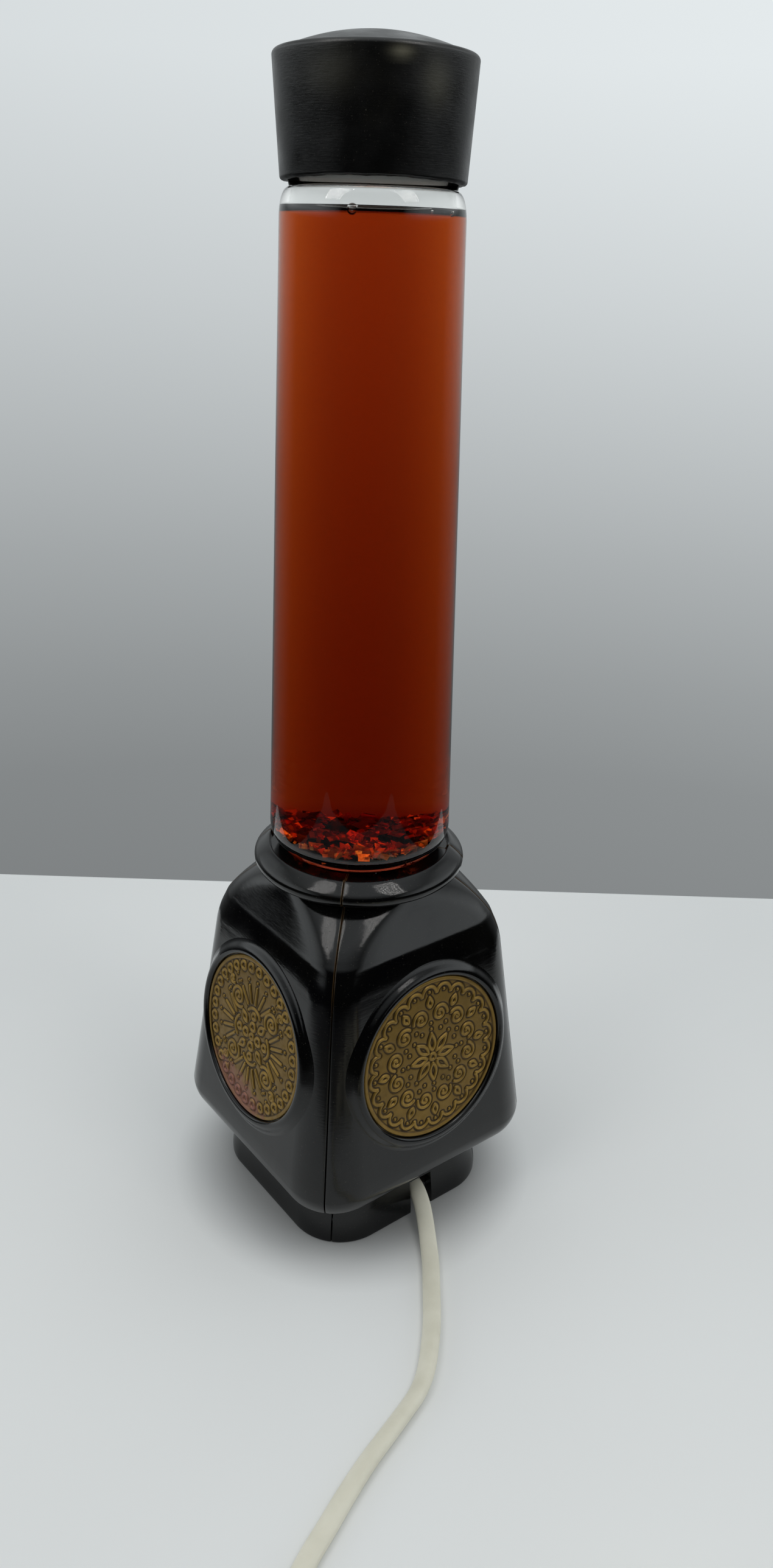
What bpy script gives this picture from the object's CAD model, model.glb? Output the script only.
"""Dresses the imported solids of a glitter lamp: finer pieces, materials, floor, light and camera."""
import random
from math import asin, atan, copysign, cos, exp, hypot, pi, radians, sin, sqrt

import bmesh
import bpy
import numpy as np
from mathutils import Matrix, Vector


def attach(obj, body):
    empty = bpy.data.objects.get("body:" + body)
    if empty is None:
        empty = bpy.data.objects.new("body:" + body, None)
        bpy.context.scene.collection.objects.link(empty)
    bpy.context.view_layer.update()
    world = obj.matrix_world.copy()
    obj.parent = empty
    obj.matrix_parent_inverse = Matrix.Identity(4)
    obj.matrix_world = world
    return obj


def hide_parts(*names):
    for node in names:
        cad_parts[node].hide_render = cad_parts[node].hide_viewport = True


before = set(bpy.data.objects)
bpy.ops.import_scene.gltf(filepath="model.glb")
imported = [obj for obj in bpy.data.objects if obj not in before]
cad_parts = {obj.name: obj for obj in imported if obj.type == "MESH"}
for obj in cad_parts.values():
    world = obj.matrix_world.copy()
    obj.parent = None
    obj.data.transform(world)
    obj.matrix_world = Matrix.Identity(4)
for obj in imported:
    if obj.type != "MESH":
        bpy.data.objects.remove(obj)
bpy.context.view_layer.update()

# Sizes are in millimetres, as in the solids' source, and MM turns them into metres
MM = 0.001

# Camera, fitted to the photograph
IMAGE_HEIGHT = 2576
FOCAL_PIXELS = 1900
SENSOR = 36
CAMERA_PLACE = Vector((-214.97, -288.91, 326.92)) * MM
CAMERA_YAW = radians(38.07)
CAMERA_PITCH = radians(24.64)
CAMERA_ROLL = radians(-1.84)
UP = Vector((0, 0, 1))
# Level directions away from the camera, and to its right
AHEAD = Vector((sin(CAMERA_YAW), cos(CAMERA_YAW), 0))
RIGHT = Vector((cos(CAMERA_YAW), -sin(CAMERA_YAW), 0))

# Base shells
FOOT_HALF = 40
FOOT_CORNER = 20
FOOT_ROUND = 0.6
# The foot tapers to the plinth between these heights
TAPER_LOW = 1.6
TAPER_HIGH = 17
PLINTH_HALF = 38.4
PLINTH_HIGH = 19.5
UNDER_ROUND = 2.3
BELLY_HALF = 50.2
BELLY_Z = 33
BELLY_CORNER = 19
EDGE_W = 6
EDGE_H = 8.5
RIDGE_HALF = 38.8
RIDGE_Z = 116
RIDGE_CORNER = 12.6
# The faces start to roll over this far below the ridge, and have drawn in by this much at it
ROLL_H = 11
ROLL_INSET = 1
# How hollow the shoulder is above the faces, and how late its corners turn round on the way up
SHOULDER_HOLLOW = 0.1
CORNER_LAG = 2
# Angle over which the shoulder's corners pass into its sides
CORNER_SPREAD = radians(7)
# The cove under the collar
COVE_R = 30.5
COVE_Z = 131
WALL = 2.4
SEAM_GAP = 0.15
# Points beside a seam, as (distance from its edge, how far they are rolled in, share of the wear)
SEAM_POINTS = [(0, 0.42, 1), (0.12, 0.147, 0.8), (0.4, 0, 0.25)]
# The seams' wear is least low down, and grows over a height
WEAR_LEAST = 0.4
WEAR_LOW = 95
WEAR_H = 20
# Outline of the ledge that carries the bottle, as (radius, height above its top)
LEDGE_Z = 139.69
LEDGE = [(31, -3.8), (24.4, -3), (24, -2.7), (24, -0.3), (24.3, 0), (30.5, 0), (30.85, 0.3)]
# Outline of the collar above the cove, as (radius, height)
COLLAR = [(30.7, 131.5), (31.6, 132.2), (33.2, 132.7), (34.7, 133.1), (35.8, 133.8), (36.3, 134.7),
          (36.5, 135.7), (36.4, 136.7), (35.9, 137.6), (35.1, 138.45), (34.1, 139.35), (33.1, 140.2),
          (32.3, 140.8), (31.8, 141.05), (31.4, 141.1), (31.1, 140.9), (31.0, 140.5)]
NOTCH_LOW = (-2, -42.6, -1)
NOTCH_HIGH = (8, -34, 14)

# Medallions and the raised rings round them
MEDALLION_Z = 75
MEDALLION_R = 29.5
MEDALLION_T = 1.2
FACE_SLOPE = (BELLY_HALF - RIDGE_HALF) / (RIDGE_Z - BELLY_Z)
FACE_TILT = atan(FACE_SLOPE)
MEDALLION_HALF = BELLY_HALF - FACE_SLOPE * (MEDALLION_Z - BELLY_Z)
# Outline of the raised ring, as (radius, height above the face)
BEZEL = [(29.75, -1.5), (29.75, 1.2), (29.95, 1.75), (30.5, 2.1), (31.2, 2.2), (32.0, 1.95), (32.8, 1.4),
         (33.5, 0.75), (34.2, 0.25), (35.2, -0.05), (36.4, -0.4), (36.4, -1.5)]
BEZEL_TOP_R = 31.2
RING_SEGMENTS = 144
RELIEF_CELLS = 300
# Stamped lines, with a groove on both sides, and how far they reach in all
LINE_REACH = 1.8
LINE_HALF = 0.5
LINE_RISE = 0.34
GROOVE_AT = 0.88
GROOVE_W = 0.27
GROOVE_DEPTH = 0.2
# Rolled rim, and the groove inside it
RIM_R = 28.1
RIM_STEP = 0.5
RIM_GROOVE_R = 27.9
RIM_GROOVE_W = 0.3
RIM_GROOVE_DEPTH = 0.12
RIM_DROP = 0.4
# Height of the field at the rim, and how much it crowns
FIELD_T = 0.68
FIELD_CROWN = 0.16
DISC_BACK = 0.02
# Worn patch along the rim of one medallion: its middle, its reach inwards and how much longer it is
WORN_AT = np.array((-5, -24.5))
WORN_REACH = 8
WORN_STRETCH = 2.6

# Bottle and its filling
BOTTLE_Z = 139.99
BOTTLE_H = 220
BOTTLE_LOW_R = 30.9
BOTTLE_TOP_R = 26.3
HEEL_R = 9
GLASS_T = 2.2
GLASS_FLOOR = 4.5
NECK_R = 23.6
NECK_LEN = 17.2
SHOULDER_H = 8
# How much taller the shoulder's turn is inside the glass than outside
SHOULDER_EXTRA = 2
MOUTH_ROUND = 0.3
# Hollow under the foot, as (radius, height)
HOLLOW = [(0, 0.8), (14, 0.5)]
LIQUID_LEVEL = 196.2
# Rise of the liquid at the wall, and how far in it reaches
MENISCUS_H = 1.9
MENISCUS_W = 1.05
# Where the liquid's edge lies on the shoulder, as a share of the way out from the neck
LEVEL_OUT = 0.86
# How far the liquid reaches into the glass, so that no air shows between the two
WETTING = 0.05
BOTTLE_SEGMENTS = 192
ROUND_STEPS = 14
GLASS_IOR = 1.5
CLEAR = (0.98, 0.99, 0.985)
# The bottle's heel is tinged by the foil that it mirrors, most below a height and less up to another
HEEL_H = 3
HEEL_FADE_H = 9
HEEL_TINT = (0.42, 0.045, 0.015)
LIQUID_IOR = 1.37
FLAKE_SEED = 11
FLAKE_COUNT = 700
# Least length of a flake, and how much longer the longest is
FLAKE_LEAST = 1.3
FLAKE_SPREAD = 3.6
# Least and most width of a flake as a share of its length, its tilts about its two sides, and its bend
FLAKE_WIDTHS = (0.4, 0.85)
FLAKE_TILTS = (0.8, 0.7)
FLAKE_CURL = 0.25
# Heap of flakes, by height above the bottle's floor
HEAP_LOW = 1.2
HEAP_H = 3
HEAP_R = 23.5
# Stopper, pale, that shows below the cap's rim, and its flange by height above the mouth
STOPPER_R = 21.2
STOPPER_LOW = 342.9
STOPPER_ROUND = 0.8
FLANGE_LOW = 0.1
FLANGE_HIGH = 2.8
FLANGE_ROUND = 0.4
# Bubbles in the liquid's raised edge at the front wall, as (place to the right, radius)
BUBBLES = [(-4.7, 1.4), (15.3, 0.5), (20, 0.9)]
BUBBLE_RISE = 0.9
BUBBLE_GAP = 0.6

# Cap
CAP_Z = 344.3
CAP_LOW_R = 26
CAP_TOP_R = 27.8
CAP_H = 30.7
CAP_ROUND_LOW = 1.1
CAP_ROUND_TOP = 1.3
DOME_H = 5
DOME_INSET = 2.4
# The lower rim is uneven up to a height, and worn back at the front
UNEVEN_H = 1.6
CAP_CHIP = 0.7
CAP_BORE = NECK_R + 0.3
# Outline of the cap's inside, with a ledge above the stopper, as (radius, height)
CAP_INSIDE = [(0, 28.9), (CAP_BORE, 28.9), (CAP_BORE, 20.6), (19.6, 20.6), (19.6, 19), (CAP_BORE, 19),
              (CAP_BORE, 0.5), (CAP_BORE + 0.35, 0)]
# Dull smudges on the cap's front, as (place to the right, height, half width, half height, strength)
SMUDGES = [(7.1, 27.8, 2.7, 1.3, 0.9), (16, 22.2, 3.2, 5, 0.32), (-11, 23.7, 6, 5, 0.16)]

# Cord: the lead from the base to the switch, and the coil from the switch to the plug
CORD_W = 6.2
CORD_T = 3.8
LEAD_ROUTE = [(3, -21, 9), (3, -26, 9), (3, -32, 9), (2, -38, 8.5), (0, -44, 6.5), (-3, -50, 4),
              (-7, -56.5, 2.5), (-12, -64, 2), (-19, -73, 2), (-27, -83, 2), (-34, -90.5, 2), (-41, -97, 2),
              (-48, -101.5, 2), (-56, -104.5, 2), (-65, -107.5, 2), (-74, -110.5, 2), (-84, -114.5, 2),
              (-94, -119, 2), (-106, -124.5, 2), (-116, -131, 2.5), (-123, -141, 3.5), (-125.5, -153, 4.5),
              (-123.5, -163, 4.3)]
CORD_SIDES = 24
CORD_END_GAP = 0.2
CORD_FLOOR_GAP = 0.1
# The lead rolls over and back by an angle, from a distance on and over a run
LEAD_ROLL = radians(24)
LEAD_ROLL_FROM = 25
LEAD_ROLL_RUN = 150
SWITCH_MID = np.array((-114, -189))
SWITCH_TURN = radians(290)
SWITCH_LEN = 46
# Coil in two layers: run from the switch, outer radius, step between turns, turns in all, and heights
COIL_RUN = 30
COIL_R = 41.5
COIL_STEP = 4.6
COIL_TURNS = 7
COIL_LOW_Z = 4.3
COIL_HIGH_Z = 11.4
# The cord leaves the coil on a wider bend, and drops to the plug after a share of it
EXIT_R = 52
EXIT_SWEEP = radians(90)
EXIT_LEVEL = 0.42
PLUG_AXIS_Z = 7
TIE_T = 0.8
TIE_W = 8
TIE_ROOM = 0.4
TIE_CORNER = 2.4
TIE_EDGE = 0.25
TIE_TURN = radians(80)

# Floor slab, in metres, as reaches from the lamp towards the back, the front and each side
FLOOR_BACK = 0.222
FLOOR_FRONT = 0.36
FLOOR_SIDE = 0.3
FLOOR_CORNER = 0.03
FLOOR_EDGE = 0.012
FLOOR_THICK = 0.03
# The floor is pale within a circle, as far as the view reaches in front, and dims outside it
POOL_MIDDLE = AHEAD * 0.08
POOL_R = 0.275
POOL_FADE_R = 0.345
POOL_FRONT = 0.17
POOL_FADE_FRONT = 0.22
FLOOR_DARK = (0.1, 0.1, 0.1)
# It is also darker close to the lamp's foot, within a reach and with a fade, where little light gets in
SHADE_R = 0.044
SHADE_FADE_R = 0.069
SHADE = 0.62

# Grey levels of the backdrop by the sine of the angle above the horizon, and from left to right
BACKDROP = [(-0.5, 0.235), (-0.4, 0.262), (-0.325, 0.318), (-0.227, 0.41), (-0.13, 0.517), (-0.037, 0.618),
            (0.05, 0.7), (0.13, 0.772), (0.45, 0.82), (1.0, 1.6)]
BACKDROP_ACROSS = [(-0.35, 0.92), (0.35, 1.08)]
BACKDROP_TINT = (0.945, 1.0, 1.02)
# The same for what is seen through the bottle
THROUGH = [(-0.5, 0.33), (-0.4, 0.35), (-0.325, 0.37), (-0.227, 0.43), *BACKDROP[4:8], (0.45, 1.0),
           (1.0, 3.0)]
THROUGH_ACROSS = [(-0.6, 1.25), (-0.2, 0.97), (0.2, 1.0), (0.6, 1.3)]
# Levels of the room that is reflected: its ceiling, its far side and its two sides, by height and direction
CEILING = [(0.4, 0.0), (0.65, 0.4), (0.85, 0.87), (1.0, 0.87)]
FAR_RISE = [(-0.6, 0.1), (-0.15, 0.28), (0.0, 0.75), (0.3, 0.95)]
FAR_DEPTH = [(0.2, 0.01), (0.8, 0.65), (1.0, 0.8)]
SIDE_RISE = [(0.06, 0.0), (0.18, 1.3), (0.55, 1.3), (0.75, 0.4)]
SIDE_REACH = [(-0.9, 1.1), (-0.58, 0.0), (0.6, 0.0), (0.9, 1.0)]
# Two panels of small square lamps above the camera, in metres
LED_ROWS = 12
LED_COLUMNS = 7
LED_SIDE = 0.009
LED_PITCH = 0.026
LED_GLOW = 23
LED_ACROSS = 0.28
LED_BACK = 0.23
LED_HIGH = 0.65
LED_TARGET = Vector((0, 0, 0.15))

DUST = (0.12, 0.11, 0.09)
# Places of a Mix node's two colours, and of their blend, among its sockets
MIX_FIRST = 6
MIX_SECOND = 7
MIX_BLEND = 2


def mix(a, b, t):
    return a + (b - a) * t


def ease(t):
    t = min(max(t, 0), 1)
    return t * t * (3 - 2 * t)


def heading(turn):
    return np.array((cos(turn), sin(turn)))


def spline(points, steps):
    """Points on a smooth line through the given points, with some steps between each two."""
    points = np.array(points, float)
    last = len(points) - 1
    line = []
    for i in range(last):
        a, b, c, d = points[max(i - 1, 0)], points[i], points[i + 1], points[min(i + 2, last)]
        for t in np.arange(steps) / steps:
            line.append(0.5 * (2 * b + (c - a) * t + (2 * a - 5 * b + 4 * c - d) * t ** 2
                               + (3 * b - a - 3 * c + d) * t ** 3))
    return np.array(line + [points[last]])


def make_camera():
    """The photograph's viewpoint."""
    forward = AHEAD * cos(CAMERA_PITCH) - UP * sin(CAMERA_PITCH)
    level_up = AHEAD * sin(CAMERA_PITCH) + UP * cos(CAMERA_PITCH)
    across = RIGHT * cos(CAMERA_ROLL) - level_up * sin(CAMERA_ROLL)
    upward = RIGHT * sin(CAMERA_ROLL) + level_up * cos(CAMERA_ROLL)
    data = bpy.data.cameras.new("photo_camera")
    data.sensor_width = SENSOR
    data.lens = SENSOR * FOCAL_PIXELS / IMAGE_HEIGHT
    data.clip_start = 0.01
    camera = bpy.data.objects.new("photo_camera", data)
    turn = Matrix((across, upward, -forward)).transposed().to_4x4()
    camera.matrix_world = Matrix.Translation(CAMERA_PLACE) @ turn
    bpy.context.collection.objects.link(camera)
    bpy.context.scene.camera = camera


class Graph:
    """Shader nodes of a material or of the world, with helpers that add more."""

    def __init__(self, owner, coordinates):
        owner.use_nodes = True
        self.nodes = owner.node_tree.nodes
        self.links = owner.node_tree.links
        self.place = self.nodes.new("ShaderNodeTexCoord").outputs[coordinates]

    def put(self, socket, value):
        """Gives a socket a value, or links it to another socket."""
        if isinstance(value, bpy.types.NodeSocket):
            self.links.new(value, socket)
        else:
            socket.default_value = value

    def add(self, kind, inputs, output, **settings):
        """An output of a new node with some settings and inputs."""
        node = self.nodes.new("ShaderNode" + kind)
        for name, value in settings.items():
            setattr(node, name, value)
        for name, value in inputs.items():
            self.put(node.inputs[name], value)
        return node.outputs[output]

    def noise(self, scale, detail, stretch=(1, 1, 1)):
        place = self.add("Mapping", {"Vector": self.place, "Scale": stretch}, "Vector")
        return self.add("TexNoise", {"Vector": place, "Scale": scale, "Detail": detail}, "Fac")

    def patches(self, scale, detail, *stops):
        """Colours or grey levels in cloudy patches."""
        return self.ramp(self.noise(scale, detail), *stops)

    def attribute(self, name):
        return self.add("Attribute", {}, "Fac", attribute_name=name)

    def measure(self, operation, vector):
        """A point's distance from a place, or how far it lies along a direction."""
        return self.add("VectorMath", {0: self.place, 1: vector}, "Value", operation=operation)

    def ramp(self, factor, *stops):
        """Colours or grey levels along a factor, each stop being (position, level or colour)."""
        node = self.nodes.new("ShaderNodeValToRGB")
        band = node.color_ramp.elements
        while len(band) < len(stops):
            band.new(0.5)
        for element, (position, value) in zip(band, stops):
            element.position = position
            element.color = (*value, 1) if isinstance(value, tuple) else (value, value, value, 1)
        self.put(node.inputs["Fac"], factor)
        return node.outputs["Color"]

    def blend(self, factor, first, second, operation="MIX"):
        """One colour over another; either may be a socket."""
        first, second = ((*colour, 1) if isinstance(colour, tuple) else colour for colour in (first, second))
        return self.add("Mix", {"Factor": factor, MIX_FIRST: first, MIX_SECOND: second}, MIX_BLEND,
                        data_type="RGBA", blend_type=operation)


class Surface(Graph):
    """A material, whose textures lie in the object's own coordinates."""

    def __init__(self, name, colour, roughness, metallic=0.0):
        self.material = bpy.data.materials.new(name)
        super().__init__(self.material, "Object")
        self.shader = self.nodes["Principled BSDF"]
        self.normal = None
        self.set("Base Color", (*colour, 1))
        self.set("Roughness", roughness)
        self.set("Metallic", metallic)

    def set(self, name, value):
        self.put(self.shader.inputs[name], value)

    def dusty(self, colour, scale, start):
        """A colour under specks of dust."""
        return self.blend(self.patches(scale, 1.0, (start, 0.0), (0.79, 0.4)), colour, DUST)

    def roughen(self, scale, detail, smooth, rough):
        """Patches between two roughnesses."""
        self.set("Roughness", self.patches(scale, detail, (0.3, smooth), (0.75, rough)))

    def bump(self, scale, detail, distance, strength, stretch=(1, 1, 1)):
        """Adds fine relief, in metres, on top of what is there."""
        inputs = {"Height": self.noise(scale, detail, stretch), "Distance": distance, "Strength": strength}
        if self.normal:
            inputs["Normal"] = self.normal
        self.normal = self.add("Bump", inputs, "Normal")
        self.set("Normal", self.normal)


def black_plastic():
    """Moulded gloss plastic with dust, fine scuffs and brown edges at the seams."""
    surface = Surface("black_plastic", (0.002, 0.002, 0.0025), 0.13)
    surface.set("IOR", 1.43)
    tint = surface.patches(45, 3.0, (0.35, (0.0015, 0.0015, 0.002)), (0.7, (0.003, 0.003, 0.0025)))
    seam = surface.ramp(surface.attribute("seam"), (0.35, 0.0), (0.9, 0.7))
    surface.set("Base Color", surface.blend(seam, surface.dusty(tint, 2300, 0.71), (0.1, 0.06, 0.025)))
    surface.roughen(70, 6.0, 0.06, 0.2)
    surface.bump(120, 2.0, 0.0004, 0.12)
    surface.bump(1500, 3.0, 0.00006, 0.25, (0.2, 0.2, 1))
    return surface.material


def cap_plastic():
    """Duller black plastic with olive smudges and scuffs."""
    surface = Surface("cap_plastic", (0.004, 0.004, 0.004), 0.42)
    smudge = surface.patches(38, 5.0, (0.5, 0.0), (0.72, 0.75))
    tint = surface.blend(smudge, (0.003, 0.003, 0.003), (0.012, 0.011, 0.007))
    marked = surface.blend(surface.attribute("smudge"), tint, (0.2, 0.19, 0.14))
    surface.set("Base Color", surface.dusty(marked, 2600, 0.7))
    surface.roughen(90, 7.0, 0.24, 0.44)
    surface.bump(900, 4.0, 0.00008, 0.3)
    surface.bump(300, 3.0, 0.00006, 0.35, (1, 1, 9))
    return surface.material


def stamped_metal():
    """Thin gilt metal with dark dirt in the grooves and copper showing where it is worn."""
    surface = Surface("stamped_metal", (0.3, 0.25, 0.1), 0.42, 0.6)
    gilt = surface.ramp(surface.attribute("relief"), (0.05, (0.02, 0.011, 0.002)),
                        (0.28, (0.078, 0.043, 0.008)), (0.48, (0.2, 0.117, 0.019)), (1.0, (0.33, 0.2, 0.038)))
    mottle = surface.patches(160, 6.0, (0.4, 0.0), (0.72, 0.45))
    aged = surface.blend(mottle, gilt, (0.12, 0.072, 0.018))
    surface.set("Base Color", surface.blend(surface.attribute("worn"), aged, (0.27, 0.115, 0.09)))
    surface.roughen(420, 5.0, 0.3, 0.6)
    surface.bump(1700, 3.0, 0.00012, 0.4)
    return surface.material


def clear_surface(name, colour, roughness, share, ior):
    """A surface that lets a share of the light through, and bends it."""
    surface = Surface(name, colour, roughness)
    surface.set("Transmission Weight", share)
    surface.set("IOR", ior)
    return surface


def clear_solid(name, ior, depth_colour, density):
    """Clear stuff that takes up light along its way, and bends it by each point's own ratio."""
    surface = clear_surface(name, (1, 1, 1), 0.0, 1.0, ior)
    surface.set("IOR", surface.attribute("ior"))
    depth = surface.add("VolumeAbsorption", {"Color": (*depth_colour, 1), "Density": density}, "Volume")
    surface.put(surface.nodes["Material Output"].inputs["Volume"], depth)
    return surface


def bottle_glass():
    """Clear, slightly uneven glass, whose refraction differs where the liquid wets it."""
    surface = clear_solid("bottle_glass", GLASS_IOR, (0.7, 0.62, 0.52), 30)
    surface.set("Base Color", surface.blend(surface.attribute("heel"), CLEAR, HEEL_TINT))
    surface.set("Roughness", surface.patches(140, 4.0, (0.45, 0.0), (0.8, 0.02)))
    surface.bump(30, 1.0, 0.0004, 0.05)
    return surface.material


def amber_liquid():
    """Clear amber liquid, coloured by its depth, whose refraction differs where it meets the glass."""
    surface = clear_solid("amber_liquid", LIQUID_IOR, (0.843, 0.464, 0.036), 140)
    surface.bump(25, 1.0, 0.0003, 0.03)
    return surface.material


def red_foil():
    """Metal foil in reds and oranges, one shade for each flake."""
    surface = Surface("red_foil", (0.8, 0.12, 0.03), 0.3, 0.65)
    shade = surface.ramp(surface.attribute("shade"), (0.0, (0.36, 0.08, 0.02)), (0.4, (0.72, 0.22, 0.05)),
                         (0.75, (1.0, 0.58, 0.2)), (1.0, (1.0, 0.92, 0.65)))
    surface.set("Base Color", shade)
    surface.set("Specular Tint", (1.0, 0.4, 0.2, 1.0))
    surface.set("Roughness", surface.patches(600, 3.0, (0.3, 0.06), (0.7, 0.2)))
    surface.bump(900, 2.0, 0.0003, 0.5)
    return surface.material


def plain_surface(name, light, dark, smooth, rough, grain, metallic=0.0):
    """A material between two shades and two roughnesses, with a fine grain."""
    surface = Surface(name, light, rough, metallic)
    surface.set("Base Color", surface.patches(grain / 8, 5.0, (0.3, dark), (0.7, light)))
    surface.roughen(grain / 3, 4.0, smooth, rough)
    surface.bump(grain, 3.0, 0.00005, 0.4)
    return surface.material


def see_through(name, colour, roughness):
    """Clear or frosted thin glass."""
    surface = clear_surface(name, colour, roughness, 0.95, 1.45)
    surface.set("Roughness", surface.patches(200, 3.0, (0.3, roughness * 0.6), (0.7, roughness)))
    surface.bump(60, 1.0, 0.0002, 0.05)
    return surface.material


def add_object(name, points, faces, material=None):
    """A mesh from points in metres."""
    mesh = bpy.data.meshes.new(name)
    mesh.from_pydata(points, [], faces)
    if material:
        mesh.materials.append(material)
    thing = bpy.data.objects.new(name, mesh)
    bpy.context.collection.objects.link(thing)
    return thing


def in_metres(points):
    return (np.array(points, float) * MM).tolist()


def add_piece(name, points, faces, material, body, nodes=(), slot=None):
    """A smooth closed mesh from points in millimetres, which rides on a body and stands for CAD nodes."""
    piece = add_object(name, in_metres(points), faces, material)
    build = bmesh.new()
    build.from_mesh(piece.data)
    bmesh.ops.recalc_face_normals(build, faces=build.faces)
    build.to_mesh(piece.data)
    build.free()
    piece.data.shade_smooth()
    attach(piece, body)
    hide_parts(*nodes)
    return piece


def set_attribute(piece, name, values):
    """One number for each vertex, for a material to read."""
    layer = piece.data.attributes.new(name, "FLOAT", "POINT")
    layer.data.foreach_set("value", np.array(values, np.float32))


def grid_faces(rows, columns, start=0, around=False):
    """Faces between rows of points that lie one row after another."""
    faces = []
    for i in range(rows - 1):
        for j in range(columns if around else columns - 1):
            a = start + i * columns + j
            b = start + i * columns + (j + 1) % columns
            faces.append((a, b, b + columns, a + columns))
    return faces


def tube_faces(rows, sides):
    """Faces of a tube with its two ends."""
    ends = [tuple(range(sides)), tuple(range((rows - 1) * sides, rows * sides))]
    return grid_faces(rows, sides, around=True) + ends


def arc(centre, radii, start, end, count):
    """Points on an ellipse about a centre, from one angle in degrees to another."""
    turns = np.radians(np.linspace(start, end, count))
    return [(centre[0] + radii[0] * cos(q), centre[1] + radii[1] * sin(q)) for q in turns]


def rounded_box(low, high, corner, count):
    """Outline of a box with round corners, as pairs of a point and the direction that it faces."""
    outline = []
    for k, place in enumerate((high, (low[0], high[1]), low, (high[0], low[1]))):
        centre = np.clip(place, np.add(low, corner), np.subtract(high, corner))
        for q in np.radians(np.linspace(90 * k, 90 * k + 90, count)):
            outline.append((centre + corner * heading(q), heading(q)))
    return outline


def lathe(profile, segments=160, closed=False):
    """Points and faces of a turned solid. Its profile of (radius, height) is a loop or ends on the axis."""
    angles = np.arange(segments) * 2 * pi / segments
    points, rings = [], []
    for radius, height in profile:
        if radius < 1e-6:
            rings.append([len(points)])
            points.append((0, 0, height))
        else:
            rings.append(list(range(len(points), len(points) + segments)))
            points.extend((radius * cos(a), radius * sin(a), height) for a in angles)
    pairs = list(zip(rings, rings[1:]))
    if closed:
        pairs.append((rings[-1], rings[0]))
    faces = []
    for low, high in pairs:
        for j in range(segments):
            k = (j + 1) % segments
            if len(low) == 1:
                faces.append((low[0], high[k], high[j]))
            elif len(high) == 1:
                faces.append((low[j], low[k], high[0]))
            else:
                faces.append((low[j], low[k], high[k], high[j]))
    return points, faces


def sweep(path, twists):
    """Points and faces of the cord along a path, turned about it by the twists."""
    path = np.array(path, float)
    points = []
    for i, centre in enumerate(path):
        ahead = path[min(i + 1, len(path) - 1)] - path[max(i - 1, 0)]
        ahead /= np.linalg.norm(ahead)
        side = np.cross((0, 0, 1), ahead)
        side /= np.linalg.norm(side)
        up = np.cross(ahead, side)
        along = side * cos(twists[i]) + up * sin(twists[i])
        across = up * cos(twists[i]) - side * sin(twists[i])
        for q in np.arange(CORD_SIDES) * 2 * pi / CORD_SIDES:
            # Flatter than an ellipse on its broad sides, as two cores side by side are
            rise = abs(sin(q)) ** 0.8 * copysign(1, sin(q))
            points.append(centre + along * CORD_W / 2 * cos(q) + across * CORD_T / 2 * rise)
    return points, tube_faces(len(path), CORD_SIDES)


def lead_shape():
    """The lead's path and twists: it leaves the base flat, rolls a little on its way and lies flat again."""
    into = SWITCH_MID - heading(SWITCH_TURN) * (SWITCH_LEN / 2 + CORD_END_GAP)
    path = spline(LEAD_ROUTE + [(*into, COIL_LOW_Z)], 8)
    run = np.r_[0, np.cumsum(np.linalg.norm(np.diff(path, axis=0), axis=1))]
    rolled = np.clip((run - LEAD_ROLL_FROM) / LEAD_ROLL_RUN, 0, 1)
    twists = LEAD_ROLL * np.sin(pi * rolled) ** 2
    half_height = np.hypot(CORD_W / 2 * np.sin(twists), CORD_T / 2 * np.cos(twists))
    path[:, 2] = np.maximum(path[:, 2], half_height + CORD_FLOOR_GAP)
    return path, twists


def coil_shape():
    """The coil's path and twists: in on the floor, up a layer, out on top and down to the plug."""
    out = SWITCH_MID + heading(SWITCH_TURN) * SWITCH_LEN / 2
    middle = out + heading(SWITCH_TURN) * COIL_RUN + heading(SWITCH_TURN + pi / 2) * COIL_R
    start = SWITCH_TURN - pi / 2
    end = start + 2 * pi * COIL_TURNS
    inner_r = COIL_R - COIL_STEP * COIL_TURNS / 2
    path, twists = [], []
    for along in [CORD_END_GAP, *np.linspace(CORD_W, COIL_RUN, 16)[:-1]]:
        path.append((*(out + heading(SWITCH_TURN) * along), COIL_LOW_Z))
        twists.append(pi / 2 * ease((along - CORD_W) / (COIL_RUN - CORD_W)))
    for t in np.linspace(0, 1, 72 * COIL_TURNS + 1):
        radius = inner_r + COIL_STEP * COIL_TURNS * abs(t - 0.5)
        height = mix(COIL_LOW_Z, COIL_HIGH_Z, ease((t - 0.5) * 2 * COIL_TURNS + 0.5))
        path.append((*(middle + radius * heading(mix(start, end, t))), height))
        twists.append(pi / 2)
    exit_middle = middle + (COIL_R - EXIT_R) * heading(end)
    for t in np.linspace(0, 1, 37)[1:]:
        drop = ease((t - EXIT_LEVEL) / (1 - EXIT_LEVEL))
        turn = end + EXIT_SWEEP * t
        path.append((*(exit_middle + EXIT_R * heading(turn)), mix(COIL_HIGH_Z, PLUG_AXIS_Z, drop)))
        twists.append(pi / 2 * (1 - drop))
    last = np.array(path[-1])
    path.append(tuple(last + (*(heading(end + EXIT_SWEEP + pi / 2) * CORD_W), 0)))
    twists.append(0)
    return np.array(path), twists, middle, inner_r


def make_cords(material):
    """The lead from the base to the switch, the coil from the switch to the plug, and the tie on the coil."""
    path, twists = lead_shape()
    lead = add_piece("mains_lead", *sweep(path, twists), material, "base", ["cord_lead"], "cream_pvc")
    path, twists, middle, inner_r = coil_shape()
    coil = add_piece("mains_coil", *sweep(path, twists), material, "base", ["cord_coil"], "cream_pvc")
    tie = make_tie(material, middle, inner_r)


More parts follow.
